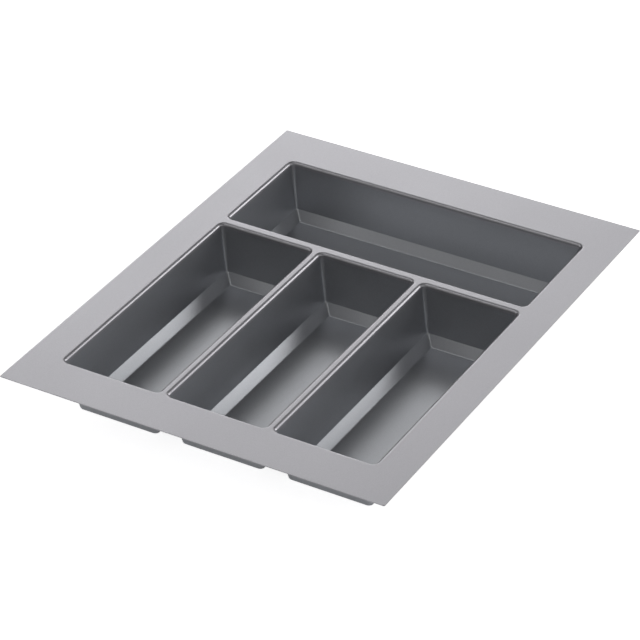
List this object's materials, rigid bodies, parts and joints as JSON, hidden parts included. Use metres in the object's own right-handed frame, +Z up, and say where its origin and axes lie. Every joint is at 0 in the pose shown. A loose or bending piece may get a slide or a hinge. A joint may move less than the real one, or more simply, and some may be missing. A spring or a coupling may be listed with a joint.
{
  "type": "cutlery tray",
  "caption": "Flat-rimmed drawer insert with long wells side by side at the front and a wide well across the back, for sorting cutlery in a kitchen drawer.",
  "frame": {"origin": "on the surface that the tray stands on, below the middle of the flange", "axes": "+X to the right along the front edge, +Y to the back, where the wide well is, +Z up out of the wells"},
  "size_m": [0.38, 0.492, 0.053],
  "materials": {
    "frame_plastic": "satin silver grey, fine matt grain",
    "well_plastic": "satin silver grey"
  },
  "bodies": {
    "wells": {"left_well": "well_plastic", "middle_well": "well_plastic", "right_well": "well_plastic", "rear_well": "well_plastic"},
    "frame": {"top_frame": "frame_plastic"}
  },
  "joints": [
    {"name": "frame_lift", "type": "slide", "parent": "wells", "child": "frame", "axis": [0, 0, 1], "range_m": [0, 0.08]}
  ]
}
